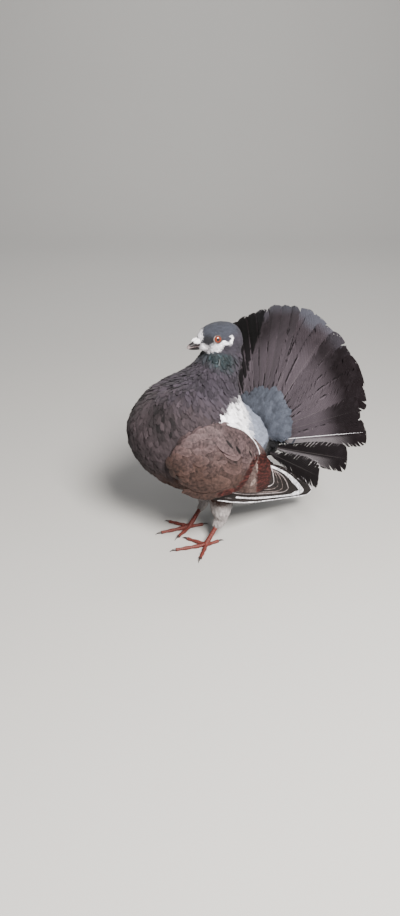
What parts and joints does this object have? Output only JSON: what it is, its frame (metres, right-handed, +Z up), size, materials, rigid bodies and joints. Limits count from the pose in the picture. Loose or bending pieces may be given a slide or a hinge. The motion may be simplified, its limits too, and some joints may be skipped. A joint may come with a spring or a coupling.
{
  "type": "fantail pigeon",
  "caption": "Life-size fantail pigeon standing with its chest raised and its tail spread in an upright fan, a still display model.",
  "frame": {"origin": "middle of the bird's box at floor level, under the body", "axes": "+Z up, +X to the bird's left, the bird looks along -Y and its fan stands at +Y"},
  "size_m": [0.2798, 0.2182, 0.2374],
  "materials": {
    "plumage": "soft body feathers, dark slate",
    "wing_feathers": "feathers, ash brown with two dark red bars",
    "tail_feathers": "feathers, slate grey with darker tips",
    "thigh_feathers": "pale grey down",
    "bill": "horn, dark",
    "cere": "powdery white skin",
    "eye": "wet, orange red iris with a black pupil",
    "leg_skin": "scaled pink skin",
    "claw": "horn, dark"
  },
  "bodies": {
    "root": {"head": "plumage", "neck": "plumage", "torso": "plumage", "wing_left": "wing_feathers", "wing_right": "wing_feathers", "tail": "tail_feathers", "thigh_left": "thigh_feathers", "thigh_right": "thigh_feathers", "bill_upper": "bill", "bill_lower": "bill", "cere": "cere", "eye_left": "eye", "eye_right": "eye", "leg_left": "leg_skin", "leg_right": "leg_skin", "claw_left_inner": "claw", "claw_left_middle": "claw", "claw_left_outer": "claw", "claw_left_hind": "claw", "claw_right_inner": "claw", "claw_right_middle": "claw", "claw_right_outer": "claw", "claw_right_hind": "claw"}
  },
  "joints": []
}
